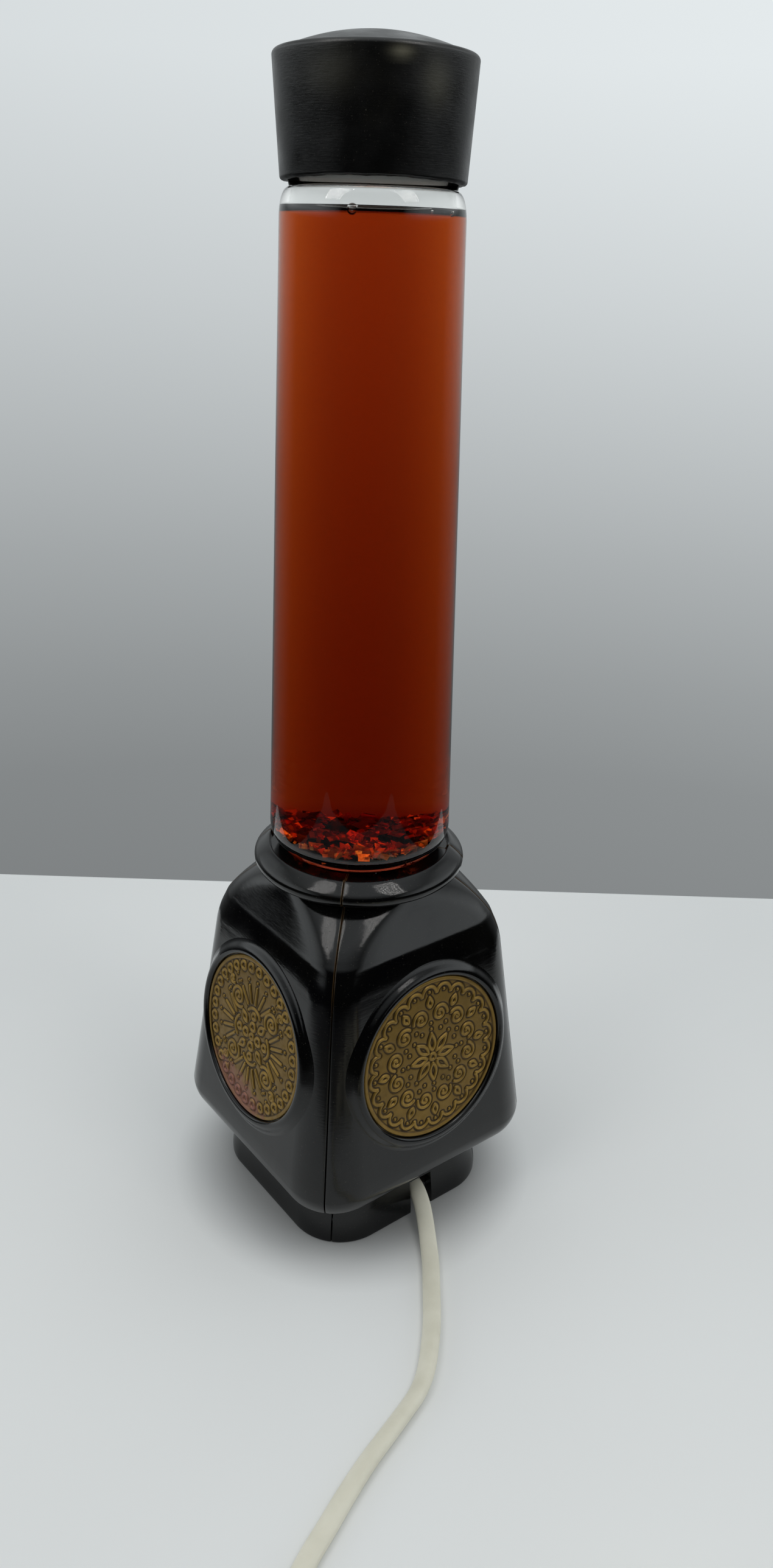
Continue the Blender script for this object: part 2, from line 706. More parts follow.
def make_tie(material, middle, inner_r):
    """A strap with round corners about the bundle of turns."""
    away = TIE_ROOM + TIE_T / 2
    low = (inner_r - CORD_T / 2 - away, TIE_T / 2)
    high = (COIL_R + CORD_T / 2 + away, COIL_HIGH_Z + CORD_W / 2 + away)
    loop = rounded_box(low, high, TIE_CORNER, 9)
    out, along = heading(TIE_TURN), heading(TIE_TURN + pi / 2)
    # Section of the strap, as (across, outwards), with rounded edges
    half, edge = TIE_W / 2, TIE_T / 2
    flat = half - TIE_EDGE
    section = [(-half, 0), (-flat, edge), (flat, edge), (half, 0), (flat, -edge), (-flat, -edge)]
    points = []
    for (reach, z), normal in loop:
        for across, outwards in section:
            place = middle + out * (reach + normal[0] * outwards) + along * across
            points.append((*place, z + normal[1] * outwards))
    sides = len(section)
    last = (len(loop) - 1) * sides
    faces = grid_faces(len(loop), sides, around=True)
    for j in range(sides):
        k = (j + 1) % sides
        faces.append((last + j, last + k, k, j))
    return add_piece("coil_strap", points, faces, material, "base", ["coil_tie"], "cream_pvc")


def face_half(z):
    return BELLY_HALF - FACE_SLOPE * (z - BELLY_Z)


def face_corner(z):
    return mix(BELLY_CORNER, RIDGE_CORNER, min((z - BELLY_Z) / (RIDGE_Z - ROLL_H - BELLY_Z), 1))


def shoulder_row(t):
    """Section of the shoulder at a share of its height: its corners turn later than its sides draw in."""
    drawn = mix(t, sin(pi / 2 * t), SHOULDER_HOLLOW)
    return (mix(RIDGE_Z, COVE_Z, t), mix(RIDGE_HALF - ROLL_INSET, COVE_R, drawn),
            mix(RIDGE_CORNER, COVE_R - 0.8, t ** CORNER_LAG))


def rolled_rows(z, half, corner, width, height, start, end, count):
    """Sections round a rolled edge, whose widest lies at a height."""
    return [(z + rise, half - width + out, corner - width + out)
            for out, rise in arc((0, 0), (width, height), start, end, count)]


def shell_rows():
    """Sections of a shell's outside from the floor up, as (height, half width, corner radius)."""
    rows = rolled_rows(FOOT_ROUND, FOOT_HALF, FOOT_CORNER, FOOT_ROUND, FOOT_ROUND, -90, 0, 4)
    for t in np.linspace(0, 1, 9):
        rows.append((mix(TAPER_LOW, TAPER_HIGH, t), mix(FOOT_HALF, PLINTH_HALF, ease(t)), FOOT_CORNER))
    hollow, corner = PLINTH_HALF + 2 * UNDER_ROUND, FOOT_CORNER + 2 * UNDER_ROUND
    rows += rolled_rows(PLINTH_HIGH, hollow, corner, UNDER_ROUND, UNDER_ROUND, 180, 90, 7)
    rows += rolled_rows(BELLY_Z, BELLY_HALF, BELLY_CORNER, EDGE_W, EDGE_H, -90, 0, 15)
    for z in np.linspace(BELLY_Z, RIDGE_Z - ROLL_H, 14)[1:]:
        rows.append((z, face_half(z), face_corner(z)))
    upper = []
    for below in (13, 11, 8, 5, 2.5):
        z = RIDGE_Z - below
        rolled = ROLL_INSET * max(1 - below / ROLL_H, 0) ** 2
        upper.append((z, face_half(z) - rolled, face_corner(z)))
    upper.extend(shoulder_row(t) for t in (0, 0.12, 0.25, 0.4, 0.6, 0.8, 1))
    collar = [(z, r, r - 0.1) for r, z in COLLAR]
    smooth = spline(upper + collar, 4)
    rows.extend(tuple(row) for row in smooth if row[0] > RIDGE_Z - ROLL_H + 0.1)
    return rows


def inner_shell_rows():
    """Sections of a shell's inside from the floor up to the ledge that carries the bottle."""
    plinth = PLINTH_HALF - WALL
    rows = [(0, plinth, FOOT_CORNER - WALL), (PLINTH_HIGH + WALL, plinth, FOOT_CORNER - WALL),
            (BELLY_Z - EDGE_H + WALL, BELLY_HALF - EDGE_W - WALL, BELLY_CORNER - EDGE_W - WALL),
            (BELLY_Z, BELLY_HALF - WALL, BELLY_CORNER - WALL)]
    for t in (0.5, 1):
        z = mix(BELLY_Z, RIDGE_Z, t)
        rows.append((z, face_half(z) - ROLL_INSET * t - WALL, face_corner(z) - WALL))
    for t in (0.25, 0.5, 0.75, 1):
        z, half, corner = shoulder_row(t)
        rows.append((z, half - WALL, corner - WALL))
    rows.extend((LEDGE_Z + height, radius, radius - 0.1) for radius, height in LEDGE)
    return rows


def shell_outline(half, corner):
    """Quarter outline of a rounded square from seam to seam as (along, out, share of the seam)."""
    end = pi / 4 - asin(SEAM_GAP / corner)
    flat = half - corner
    # The last points at each seam are rolled in, which leaves a fine line between two shells
    turns = [(end - away / corner, roll, seam) for away, roll, seam in SEAM_POINTS]
    last = turns[-1][0]
    turns.extend((last * (1 - i / 12), 0, 0) for i in range(1, 13))
    side = [(flat + (corner - roll) * sin(q), flat + (corner - roll) * cos(q), seam)
            for q, roll, seam in turns]
    middle = [(flat * share, half, 0) for share in np.linspace(-1, 1, 9)[1:-1]]
    return [(-along, out, seam) for along, out, seam in side] + middle + side[::-1]


def softened(outline, spread):
    """The outline with its changes of bend spread over an angle about the axis."""
    along, out, seam = np.array(outline).T
    turn = np.arctan2(along, out)
    clear = seam == 0
    # The outline goes on beyond each seam as its mirror image
    turns = np.r_[-pi / 2 - turn[clear][::-1], turn[clear], pi / 2 - turn[clear][::-1]]
    reaches = np.hypot(along, out)[clear]
    reaches = np.r_[reaches[::-1], reaches, reaches[::-1]]
    grid = np.linspace(-1.3, 1.3, 521)
    weights = np.exp(-((turn[:, None] - grid) / spread) ** 2)
    spread_reach = weights @ np.interp(grid, turns, reaches) / weights.sum(1)
    scale = spread_reach / np.interp(turn, turns, reaches)
    return list(zip(along * scale, out * scale, seam))


def face_frame(k):
    """Places a medallion's own frame on one of the four faces, its +Z pointing out."""
    lean = Matrix.Rotation(pi / 2 - FACE_TILT, 4, "X")
    shift = Matrix.Translation((0, -MEDALLION_HALF, MEDALLION_Z))
    return Matrix.Rotation(pi / 2 * k, 4, "Z") @ shift @ lean


def moved(points, matrix):
    turn = np.array(matrix.to_3x3())
    return np.array(points, float) @ turn.T + np.array(matrix.translation)


def corner_drop(along, z):
    """How far a face falls away where it turns into the corner."""
    corner = face_corner(z)
    beyond = max(abs(along) - face_half(z) + corner, 0)
    return corner - sqrt(max(corner ** 2 - beyond ** 2, 0))


def ring_shape():
    """The raised ring in a face's frame; its outer edge follows the face into the corners."""
    points, faces = lathe(BEZEL, RING_SEGMENTS, closed=True)
    settled = []
    for x, y, height in points:
        share = ease((hypot(x, y) - BEZEL_TOP_R) / (BEZEL[-1][0] - BEZEL_TOP_R))
        settled.append((x, y, height - share * corner_drop(x, MEDALLION_Z + y * cos(FACE_TILT))))
    return settled, faces


def make_shell(k, name, node, material, notch=False):
    """A quarter of the base with its part of the collar and its raised ring."""
    outer, inner = shell_rows(), inner_shell_rows()
    points, seams = [], []
    for row, (z, half, corner) in enumerate(outer + inner):
        outline = shell_outline(half, corner)
        spread = CORNER_SPREAD * ease((z - RIDGE_Z + ROLL_H) / ROLL_H)
        if row < len(outer) and spread > 0:
            outline = softened(outline, spread)
        for along, out, seam in outline:
            points.append((along, -out, z))
            seams.append(seam * mix(WEAR_LEAST, 1, ease((z - WEAR_LOW) / WEAR_H)))
    columns = len(outline)
    base = len(outer) * columns
    top, inner_top = base - columns, base + (len(inner) - 1) * columns
    faces = grid_faces(len(outer), columns) + grid_faces(len(inner), columns, base)
    for j in range(columns - 1):
        faces.append((j, j + 1, base + j + 1, base + j))
        faces.append((top + j, top + j + 1, inner_top + j + 1, inner_top + j))
    for j in (0, columns - 1):
        up = [i * columns + j for i in range(len(outer))]
        down = [base + i * columns + j for i in reversed(range(len(inner)))]
        faces.append(tuple(up + down))
    points = moved(points, Matrix.Rotation(pi / 2 * k, 4, "Z"))
    piece = add_piece(name, points, faces, material, "base", [node], "black_plastic")
    set_attribute(piece, "seam", seams)
    if notch:
        cut_box(piece, NOTCH_LOW, NOTCH_HIGH)
    points, faces = ring_shape()
    add_piece(name + "_ring", moved(points, face_frame(k)), faces, material, "base", [], "black_plastic")
    piece.data.set_sharp_from_angle(angle=radians(38))


def cut_box(piece, low, high):
    """Cuts a box out of a piece for good."""
    corners = [(x, y, z) for x in (low[0], high[0]) for y in (low[1], high[1]) for z in (low[2], high[2])]
    sides = [(0, 1, 3, 2), (4, 6, 7, 5), (0, 4, 5, 1), (2, 3, 7, 6), (0, 2, 6, 4), (1, 5, 7, 3)]
    cutter = add_object("cutter", in_metres(corners), sides)
    modifier = piece.modifiers.new("notch", "BOOLEAN")
    modifier.object = cutter
    modifier.solver = "EXACT"
    depsgraph = bpy.context.evaluated_depsgraph_get()
    cut = bpy.data.meshes.new_from_object(piece.evaluated_get(depsgraph))
    piece.modifiers.clear()
    piece.data = cut
    bpy.data.objects.remove(cutter)


def circle(centre, radius, start=0.0, sweep_by=2 * pi, count=40):
    turns = np.linspace(start, start + sweep_by, count)
    return np.array(centre) + radius * np.c_[np.cos(turns), np.sin(turns)]


def spiral(centre, radius, start, turns, hand):
    """A line that winds in to its centre."""
    t = np.linspace(0, 1, 64)
    angle = start + hand * 2 * pi * turns * t
    reach = radius * (1 - 0.9 * t ** 0.9)
    return np.array(centre) + np.c_[reach * np.cos(angle), reach * np.sin(angle)]


def leaf(foot, tip, bulge):
    """Both edges of a pointed leaf."""
    foot, tip = np.array(foot, float), np.array(tip, float)
    t = np.linspace(0, 1, 18)[:, None]
    spine = foot + (tip - foot) * t
    normal = np.array((foot[1] - tip[1], tip[0] - foot[0])) / np.linalg.norm(tip - foot)
    swell = bulge * np.sin(pi * t ** 0.85)
    return [spine + normal * swell, spine - normal * swell]


def bead(place):
    """A dot, as a line with no length."""
    return np.array([place, place], float)


def turned(lines, angle, mirror=False):
    """Lines turned about the disc's middle, and mirrored first if asked."""
    flip = np.array((1, -1 if mirror else 1))
    turn = np.array((heading(angle), heading(angle + pi / 2)))
    return [(line * flip) @ turn for line in lines]


def around(count, lines, first=0.0, mirror=False):
    """Lines repeated at even steps about the disc's middle."""
    steps = first + np.arange(count) * 2 * pi / count
    return [line for angle in steps for line in turned(lines, angle, mirror)]


def rosette_lines():
    """A daisy in a ring of beads, paired scrolls with leaves round it, and a scalloped border."""
    scroll = [spiral(16.2 * heading(radians(15)), 3.3, radians(-75), 1.7, 1)]
    scallop = circle((23.8, 0), 3.0, radians(-86), radians(172), 16)
    return ([circle((0, 0), 1.2)]
            + around(8, leaf((2.6, 0), (9.0, 0), 1.3))
            + around(16, [bead((10.7, 0))])
            + around(6, scroll) + around(6, scroll, mirror=True)
            + around(12, leaf((19.2, 0), (22.8, 0), 1.0) + [bead((13.0, 0))])
            + around(24, [scallop, bead((24.8, 0))]))


def palmette_lines():
    """Four fans on the axes, spirals between them, a small cross of rings and a border of rings."""
    foot = np.array((6.5, 0))
    fan = [circle((3.9, 0), 1.5), circle((8.1, 0), 1.2)]
    fan.append(circle(foot, 4.5, radians(-55), radians(110), 20))
    for turn in np.radians((-44, -22, 0, 22, 44)):
        fan.append(np.array([foot + 6.4 * heading(turn), foot + 12.6 * heading(turn)]))
        fan.append(bead(foot + 14.8 * heading(turn)))
    between = leaf((5.6, 0), (9.8, 0), 1.1)
    between += [spiral((15.4, 0), 4.4, pi, 2.1, -1), spiral((22.0, 0), 1.9, pi, 1.2, -1)]
    dots = [bead((19.6, 3.6)), bead((22.6, 4.4))]
    diagonal = radians(45)
    border = [circle(25.6 * heading(radians(11.25 * k)), 1.5, count=20) for k in range(32)]
    return ([circle((0, 0), 1.1)] + around(4, fan) + around(4, between + dots, diagonal)
            + around(4, dots, diagonal, mirror=True) + border)


def line_distance(points, lines, reach):
    """How far each point is from the nearest line, up to a reach."""
    nearest = np.full(len(points), reach, float)
    for line in lines:
        low, high = line.min(0) - reach, line.max(0) + reach
        close = np.flatnonzero(np.all((points > low) & (points < high), axis=1))
        for a, b in zip(line, line[1:]):
            along = b - a
            share = np.clip((points[close] - a) @ along / max(along @ along, 1e-9), 0, 1)
            gap = np.linalg.norm(points[close] - a - share[:, None] * along, axis=1)
            nearest[close] = np.minimum(nearest[close], gap)
    return nearest


def disc_grid(cells):
    """Even points over a unit disc, as a square grid drawn out to the round."""
    steps = np.linspace(-1, 1, cells + 1)
    a, b = (side.ravel() for side in np.meshgrid(steps, steps))
    wide = np.abs(a) > np.abs(b)
    radius = np.where(wide, a, b)
    safe_a, safe_b = np.where(a == 0, 1, a), np.where(b == 0, 1, b)
    angle = np.where(wide, pi / 4 * b / safe_a, pi / 2 - pi / 4 * a / safe_b)
    return np.c_[radius * np.cos(angle), radius * np.sin(angle)]


def make_medallion(k, name, node, lines, material, is_worn):
    """A stamped disc with a raised line design, dirty grooves and a rolled rim."""
    flat = disc_grid(RELIEF_CELLS) * MEDALLION_R
    radius = np.linalg.norm(flat, axis=1)
    gap = line_distance(flat, lines, LINE_REACH)
    ridge = np.exp(-(gap / LINE_HALF) ** 4)
    groove = np.exp(-((gap - GROOVE_AT) / GROOVE_W) ** 2)
    inside = np.clip((RIM_R - radius) / RIM_STEP, 0, 1)
    rim = 1 - inside
    rim_groove = np.exp(-((radius - RIM_GROOVE_R) / RIM_GROOVE_W) ** 2)
    field = FIELD_T + FIELD_CROWN * (1 - (radius / MEDALLION_R) ** 2)
    edge_drop = RIM_DROP * np.clip((radius - MEDALLION_R + RIM_STEP) / RIM_STEP, 0, 1) ** 2
    height = mix(field, MEDALLION_T, rim) - edge_drop
    height += inside * (LINE_RISE * ridge - GROOVE_DEPTH * groove) - RIM_GROOVE_DEPTH * rim_groove
    # Shade for the material, from dark in the grooves to bright on the lines
    relief = np.clip(0.52 + inside * (0.48 * ridge - 0.5 * groove) + 0.2 * rim - 0.4 * rim_groove, 0, 1)
    size = RELIEF_CELLS + 1
    # The grid's edge goes round the disc, and the same points on the back close the disc
    edge = list(range(size)) + [i * size + size - 1 for i in range(1, size)]
    edge += [size * size - 1 - i for i in range(1, size)] + [i * size for i in range(size - 2, 0, -1)]
    back = len(flat)
    points = np.r_[np.c_[flat, height], np.c_[flat[edge], np.full(len(edge), DISC_BACK)]]
    faces = grid_faces(size, size)
    for j in range(len(edge)):
        k_next = (j + 1) % len(edge)
        faces.append((edge[j], edge[k_next], back + k_next, back + j))
    faces.append(tuple(range(back, back + len(edge))))
    piece = add_piece(name, moved(points, face_frame(k)), faces, material, "base", [node], "old_brass")
    set_attribute(piece, "relief", np.r_[relief, np.full(len(edge), 0.5)])
    worn = np.zeros(len(points))
    if is_worn:
        outward = WORN_AT / np.linalg.norm(WORN_AT)
        sideways = np.array((-outward[1], outward[0])) / WORN_STRETCH
        away = np.hypot((flat - WORN_AT) @ outward, (flat - WORN_AT) @ sideways)
        x, y = flat.T
        ragged = 1.1 * np.sin(x * 1.1) + 0.9 * np.sin(y * 1.7 + 1) + 0.7 * np.sin((x + y) * 2.3)
        worn[:back] = np.clip((WORN_REACH + ragged - away) / 4, 0, 1) * (0.4 + 0.6 * relief)
    set_attribute(piece, "worn", worn)


def bottle_side(depth, floor):
    """Half outline of the bottle at a depth inside its skin, from foot to mouth, as (radius, height)."""
    low, top, neck = BOTTLE_LOW_R - depth, BOTTLE_TOP_R - depth, NECK_R - depth
    heel = HEEL_R - depth
    heel_mid = max(HEEL_R, floor + heel)
    shoulder_h = SHOULDER_H + SHOULDER_EXTRA * depth / GLASS_T
    shoulder_low = BOTTLE_H - NECK_LEN - shoulder_h
    outline = arc((low - heel, heel_mid), (heel, heel_mid - floor), -90, 0, ROUND_STEPS)
    for t in np.linspace(0, 1, 12)[1:-1]:
        outline.append((mix(low, top, t), mix(heel_mid, shoulder_low - 0.4, t)))
    outline += arc((neck, shoulder_low), (top - neck, shoulder_h), 0, 90, ROUND_STEPS)
    return outline + [(neck, BOTTLE_H - MOUTH_ROUND)]


def raised(profile, z):
    return [(r, h + z) for r, h in profile]


def ring_values(profile, values):
    """One value for each point of a turned solid, from one for each point of its profile."""
    spread = []
    for (radius, _), value in zip(profile, values):
        spread.extend([value] * (1 if radius < 1e-6 else BOTTLE_SEGMENTS))
    return spread


def add_turned(name, profile, ratios, material, node, slot):
    """A turned piece of the bottle, with a ratio of refraction for each ring of points."""
    points, faces = lathe(raised(profile, BOTTLE_Z), BOTTLE_SEGMENTS)
    piece = add_piece(name, points, faces, material, "bottle", [node], slot)
    set_attribute(piece, "ior", ring_values(profile, ratios))
    return piece


def make_bottle():
    """The glass and what fills it, up to a level that rises at the wall.

    Light bends once where glass and liquid meet: the glass has their ratio there, and the liquid's side
    has none. It does not bend at the foot, which rests on the dark ledge."""
    mouth = [(NECK_R - MOUTH_ROUND, BOTTLE_H), (NECK_R - GLASS_T + MOUTH_ROUND, BOTTLE_H)]
    dry = HOLLOW + bottle_side(0, 0) + mouth
    bore = bottle_side(GLASS_T, GLASS_FLOOR)[::-1] + [(0, GLASS_FLOOR)]
    wet_ratio = GLASS_IOR / LIQUID_IOR
    ratios = [1.0 if height < HEEL_H else GLASS_IOR for _, height in dry]
    ratios += [wet_ratio if height < LIQUID_LEVEL + MENISCUS_H else GLASS_IOR for _, height in bore]
    bottle = add_turned("bottle_wall", dry + bore, ratios, bottle_glass(), "glass_bottle", "clear_glass")
    heel = [ease((HEEL_FADE_H - height) / (HEEL_FADE_H - HEEL_H)) for _, height in dry] + [0.0] * len(bore)
    set_attribute(bottle, "heel", ring_values(dry + bore, heel))
    wall = bottle_side(GLASS_T - WETTING, GLASS_FLOOR - WETTING)
    edge_r = NECK_R + (BOTTLE_TOP_R - NECK_R) * LEVEL_OUT - GLASS_T + WETTING
    side = [(0, GLASS_FLOOR - WETTING)] + [point for point in wall if point[1] < LIQUID_LEVEL - 0.5]
    side.append((edge_r, LIQUID_LEVEL + MENISCUS_H - 0.03))
    level = [(edge_r - away, LIQUID_LEVEL + MENISCUS_H * exp(-away / MENISCUS_W))
             for away in (0, 0.12, 0.28, 0.5, 0.75, 1.05, 1.4, 1.9, 2.5, 3.3, 4.4, 6)]
    level.append((0, LIQUID_LEVEL))
    ratios = [1.0] * len(side) + [LIQUID_IOR] * len(level)
    add_turned("liquid_filling", side + level, ratios, amber_liquid(), "coloured_liquid", "amber_liquid")


def make_bubbles():
    """A few air bubbles in the liquid."""
    surface = clear_surface("air_bubble", (1, 1, 1), 0.0, 1.0, 1 / LIQUID_IOR)
    surface.bump(400, 1.0, 0.0001, 0.03)
    points, faces = [], []
    for across, radius in BUBBLES:
        ball, ball_faces = lathe(arc((0, 0), (radius, radius), -90, 90, 13), 24)
        reach = BOTTLE_TOP_R - GLASS_T - radius - BUBBLE_GAP
        place = RIGHT * across - AHEAD * sqrt(reach ** 2 - across ** 2)
        shift = (place.x, place.y, BOTTLE_Z + LIQUID_LEVEL + BUBBLE_RISE)
        faces.extend(tuple(len(points) + i for i in face) for face in ball_faces)
        points.extend(np.array(ball) + shift)
    add_piece("air_bubbles", points, faces, surface.material, "bottle", [], "clear_glass")


def inner_radius(height):
    """The bottle's bore at a height above its foot, in the heel."""
    heel = HEEL_R - GLASS_T
    heel_mid = GLASS_FLOOR + heel
    drop = min(max((height - heel_mid) / heel, -1), 0)
    return BOTTLE_LOW_R - GLASS_T - heel + heel * sqrt(1 - drop * drop)


def make_flakes(material):
    """Settled foil flakes, each a small bent leaf of its own shade."""
    rng = random.Random(FLAKE_SEED)
    low = GLASS_FLOOR + HEAP_LOW
    points, faces, shades = [], [], []
    while len(faces) < 4 * FLAKE_COUNT:
        length = FLAKE_LEAST + FLAKE_SPREAD * rng.random() ** 2.2
        width = length * rng.uniform(*FLAKE_WIDTHS)
        height = low + HEAP_H * rng.random() ** 1.3
        reach = min(inner_radius(height - 1) - 0.6 * length - 0.4, HEAP_R)
        turn = rng.uniform(0, 2 * pi)
        radius = reach * sqrt(rng.random())
        heap_top = low + HEAP_H * (0.72 + 0.28 * sin(3 * turn + 0.11 * radius))
        heap_top *= mix(0.75, 1, (radius / BOTTLE_LOW_R) ** 2)
        if height > heap_top:
            continue
        pose = Matrix.Translation((radius * cos(turn), radius * sin(turn), BOTTLE_Z + height))
        pose @= Matrix.Rotation(rng.uniform(0, 6.3), 4, "Z")
        for axis, tilt in zip("XY", FLAKE_TILTS):
            pose @= Matrix.Rotation(rng.gauss(0, tilt), 4, axis)
        curl = rng.uniform(-FLAKE_CURL, FLAKE_CURL)
        leaf_points = [(u * length / 2, v * width / 2, curl * (u * u + 0.5 * u * v)) for v in (-1, 0, 1)
                       for u in (-1, 0, 1)]
        faces.extend(grid_faces(3, 3, len(points)))
        points.extend(moved(leaf_points, pose))
        shades.extend([rng.random()] * 9)
    piece = add_piece("settled_flakes", points, faces, material, "bottle", ["foil_glitter"], "red_foil")
    set_attribute(piece, "shade", shades)


def make_cap(material):
    """A cap that widens upwards, with a worn lower rim and a low dome."""
    low, high = CAP_ROUND_LOW, CAP_H - CAP_ROUND_TOP
    rim = arc((CAP_LOW_R - low, low), (low, low), -90, -4, 8)
    side = [(mix(CAP_LOW_R, CAP_TOP_R, t), mix(low, high, t)) for t in np.linspace(0, 1, 20)]
    top = arc((CAP_TOP_R - CAP_ROUND_TOP, high), (CAP_ROUND_TOP, CAP_ROUND_TOP), 6, 90, 8)
    dome = [((CAP_TOP_R - DOME_INSET) * t, CAP_H + DOME_H * (1 - t * t)) for t in np.linspace(1, 0, 20)]
    points, faces = lathe(raised(CAP_INSIDE + rim + side + top + dome, CAP_Z), BOTTLE_SEGMENTS)
    points = np.array(points)
    angle = np.arctan2(points[:, 1], points[:, 0])
    share = np.clip((CAP_Z + UNEVEN_H - points[:, 2]) / UNEVEN_H, 0, 1)
    uneven = 0.07 * np.sin(9 * angle) + 0.05 * np.sin(23 * angle + 1) + 0.03 * np.sin(51 * angle + 2)
    toward = np.clip(-np.array(AHEAD.xy) @ [np.cos(angle), np.sin(angle)], 0, 1)
    points[:, 2] += share * (uneven + CAP_CHIP * toward ** 2)
    across = points[:, :2] @ np.array(RIGHT.xy)
    facing = points[:, :2] @ np.array(AHEAD.xy) < 0
    smudge = np.zeros(len(points))
    for place, height, half_w, half_h, strength in SMUDGES:
        away = ((across - place) / half_w) ** 2 + ((points[:, 2] - CAP_Z - height) / half_h) ** 2
        smudge += facing * strength * np.exp(-away)
    piece = add_piece("cap_shell", points, faces, material, "cap", ["top_cap"], "black_plastic")
    set_attribute(piece, "smudge", smudge)
    piece.data.set_sharp_from_angle(angle=radians(40))


def make_stopper(material):
    """A pale plug in the neck, with a flange on the mouth."""
    low, high = (BOTTLE_Z + BOTTLE_H + height for height in (FLANGE_LOW, FLANGE_HIGH))
    flange_r = NECK_R - FLANGE_ROUND
    outline = [(0, STOPPER_LOW), (STOPPER_R - STOPPER_ROUND, STOPPER_LOW),
               (STOPPER_R, STOPPER_LOW + STOPPER_ROUND), (STOPPER_R, low), (flange_r, low),
               (NECK_R, low + FLANGE_ROUND), (NECK_R, high - FLANGE_ROUND), (flange_r, high), (0, high)]
    piece = add_piece("neck_plug", *lathe(outline), material, "bottle", ["bottle_stopper"], "stopper_rubber")
    piece.data.set_sharp_from_angle(angle=radians(40))


def dress(names, material, bevel=0.0):
    """Gives CAD nodes a material, and rounds their sharp edges for the light."""
    for name in names:
        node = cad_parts[name]
        node.data.materials.clear()
        node.data.materials.append(material)
        if bevel:
            weld = node.modifiers.new("weld", "WELD")
            weld.merge_threshold = 1e-6
            edge = node.modifiers.new("edge", "BEVEL")
            edge.width = bevel * MM
            edge.segments = 3
            edge.limit_method = "ANGLE"
            edge.angle_limit = radians(45)


def make_floor():
    """A plain pale slab that ends a little way behind the lamp, as the photograph's floor does."""
    surface = Surface("floor", (0.82, 0.825, 0.82), 0.6)
    shade = surface.patches(4, 2.0, (0.3, (0.8, 0.805, 0.8)), (0.7, (0.84, 0.845, 0.84)))
    ahead = surface.measure("DOT_PRODUCT", -AHEAD)
    round_fade = surface.ramp(surface.measure("DISTANCE", POOL_MIDDLE), (POOL_R, 0.0), (POOL_FADE_R, 1.0))
    front_fade = surface.ramp(ahead, (POOL_FRONT, 0.0), (POOL_FADE_FRONT, 1.0))
    foot_fade = surface.ramp(surface.measure("DISTANCE", (0, 0, 0)), (SHADE_R, SHADE), (SHADE_FADE_R, 0.0))
    pool = surface.blend(round_fade, surface.blend(foot_fade, shade, FLOOR_DARK), FLOOR_DARK)
    surface.set("Base Color", surface.blend(front_fade, pool, FLOOR_DARK))
    surface.bump(900, 2.0, 0.0001, 0.1)
    outline = rounded_box((-FLOOR_SIDE, -FLOOR_FRONT), (FLOOR_SIDE, FLOOR_BACK), FLOOR_CORNER, 13)
    rings = arc((FLOOR_EDGE, -FLOOR_EDGE), (-FLOOR_EDGE, FLOOR_EDGE), 90, 0, 9) + [(0, -FLOOR_THICK)]
    points = []
    for inset, z in rings:
        for (x, y), _ in outline:
            place = RIGHT * (x - copysign(inset, x)) + AHEAD * (y - copysign(inset, y))
            points.append((place.x, place.y, z))
    floor = add_object("floor", points, tube_faces(len(rings), len(outline)), surface.material)
    floor.data.shade_smooth()
    floor.data.set_sharp_from_angle(angle=radians(30))


def make_world():
    """A pale backdrop that darkens downwards, and for reflections a room that is dark behind the camera."""
    world = bpy.data.worlds.new("studio")
    graph = Graph(world, "Generated")

    def along(direction, stops, tint=(1, 1, 1)):
        """Levels by how far a ray points along a direction, from -1 to 1."""
        reach = graph.measure("DOT_PRODUCT", direction)
        share = graph.add("MapRange", {"Value": reach, "From Min": -1.0}, "Result")
        colours = [tuple(level * part for part in tint) for _, level in stops]
        return graph.ramp(share, *(((place + 1) / 2, colour) for (place, _), colour in zip(stops, colours)))

    def levels(rise, direction, reach):
        """Levels by height, times levels along a direction."""
        return graph.blend(1.0, along(UP, rise, BACKDROP_TINT), along(direction, reach), "MULTIPLY")

    def brighter(first, second):
        return graph.blend(1.0, first, second, "LIGHTEN")

    def chosen(factor, first, second):
        return graph.add("MixShader", {"Fac": factor, 1: first, 2: second}, "Shader")

    def background(colour):
        return graph.add("Background", {"Color": colour}, "Background")

    sides = levels(SIDE_RISE, RIGHT, SIDE_REACH)
    room = brighter(along(UP, CEILING, BACKDROP_TINT), brighter(levels(FAR_RISE, AHEAD, FAR_DEPTH), sides))
    through = levels(THROUGH, RIGHT, THROUGH_ACROSS)
    path = graph.nodes.new("ShaderNodeLightPath").outputs
    unseen = chosen(path["Is Transmission Ray"], background(room), background(through))
    seen = background(levels(BACKDROP, RIGHT, BACKDROP_ACROSS))
    graph.put(graph.nodes["World Output"].inputs["Surface"], chosen(path["Is Camera Ray"], unseen, seen))
    bpy.context.scene.world = world


def add_leds(name, place, material):
    """A panel of small square lamps that faces the part."""
    turn = (LED_TARGET - place).to_track_quat("-Z", "Y").to_matrix()
    points, faces = [], []
    for row in range(LED_ROWS):
        for column in range(LED_COLUMNS):
            middle = Vector((column - (LED_COLUMNS - 1) / 2, row - (LED_ROWS - 1) / 2, 0)) * LED_PITCH
            faces.append(tuple(len(points) + i for i in range(4)))
            for x, y in ((-1, -1), (1, -1), (1, 1), (-1, 1)):
                points.append(place + turn @ (middle + Vector((x, y, 0)) * LED_SIDE / 2))
    panel = add_object(name, points, faces, material)
    panel.visible_camera = False


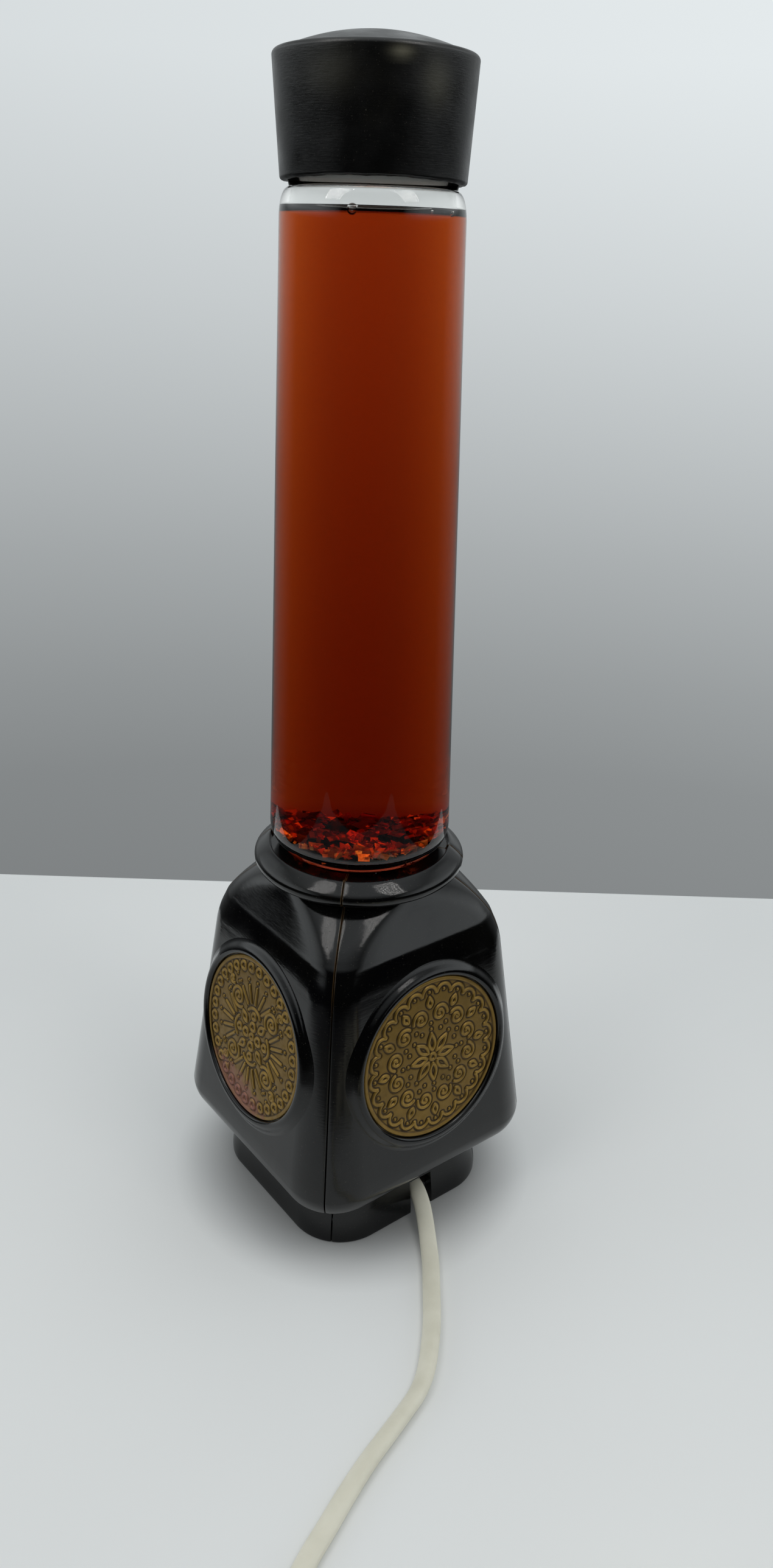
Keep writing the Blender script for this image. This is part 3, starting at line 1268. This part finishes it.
def make_lights():
    """Lamp panels high on the left and the right, above the camera."""
    surface = Surface("lit_lamps", (1, 1, 1), 0.5)
    surface.set("Emission Color", (1.0, 0.98, 0.95, 1))
    surface.set("Emission Strength", LED_GLOW)
    for name, across in (("left_lamps", -LED_ACROSS), ("right_lamps", LED_ACROSS)):
        add_leds(name, RIGHT * across - AHEAD * LED_BACK + UP * LED_HIGH, surface.material)


make_camera()
make_cords(plain_surface("cord_plastic", (0.78, 0.75, 0.63), (0.7, 0.67, 0.55), 0.3, 0.5, 900))

shell_plastic = black_plastic()
gilt = stamped_metal()
designs = [rosette_lines(), palmette_lines()]
for k, side in enumerate(("front", "right", "rear", "left")):
    make_shell(k, side + "_quarter", side + "_side_shell", shell_plastic, notch=side == "front")
    make_medallion(k, side + "_stamped_disc", side + "_medallion", designs[k % 2], gilt,
                   is_worn=side == "left")

make_bottle()
make_bubbles()
make_flakes(red_foil())
make_cap(cap_plastic())

dress(["bottom_plate", "bottom_plate_screws", "holder_tube", "cord_clamp_screws", "bulb_centre_contact",
       "switch_pivot_pin", "switch_screws"],
      plain_surface("steel", (0.6, 0.6, 0.61), (0.42, 0.42, 0.43), 0.24, 0.45, 1200, 1.0))
dress(["plug_pins", "holder_nuts", "holder_screw_shell", "holder_centre_contact", "bulb_screw_cap"],
      plain_surface("bright_brass", (0.78, 0.57, 0.25), (0.6, 0.42, 0.17), 0.2, 0.4, 1200, 1.0))
dress(["holder_base", "holder_sleeve"],
      plain_surface("bakelite", (0.06, 0.032, 0.02), (0.035, 0.018, 0.012), 0.25, 0.42, 500))
dress(["bulb_filament"],
      plain_surface("tungsten", (0.3, 0.3, 0.32), (0.18, 0.18, 0.2), 0.35, 0.55, 2500, 1.0))
dress(["bulb_glass"], see_through("bulb_glass", (0.97, 0.95, 0.9), 0.35))
dress(["bulb_stem"], see_through("stem_glass", (0.9, 0.95, 0.95), 0.05))
make_stopper(plain_surface("pale_rubber", (0.74, 0.74, 0.71), (0.66, 0.66, 0.63), 0.4, 0.6, 700))
hard_plastic = plain_surface("cream_plastic", (0.76, 0.71, 0.57), (0.69, 0.64, 0.5), 0.26, 0.46, 800)
dress(["cord_clamp"], hard_plastic, 0.5)
dress(["switch_lower_shell", "switch_upper_shell", "switch_rocker"], hard_plastic, 0.7)
dress(["plug_body"], hard_plastic, 1.0)
dress(["live_wire"], plain_surface("brown_core", (0.2, 0.085, 0.035), (0.14, 0.055, 0.025), 0.35, 0.5, 900))
dress(["neutral_wire"], plain_surface("blue_core", (0.04, 0.13, 0.4), (0.03, 0.09, 0.3), 0.35, 0.5, 900))

make_floor()
make_world()
make_lights()
bpy.context.scene.view_settings.view_transform = "Standard"
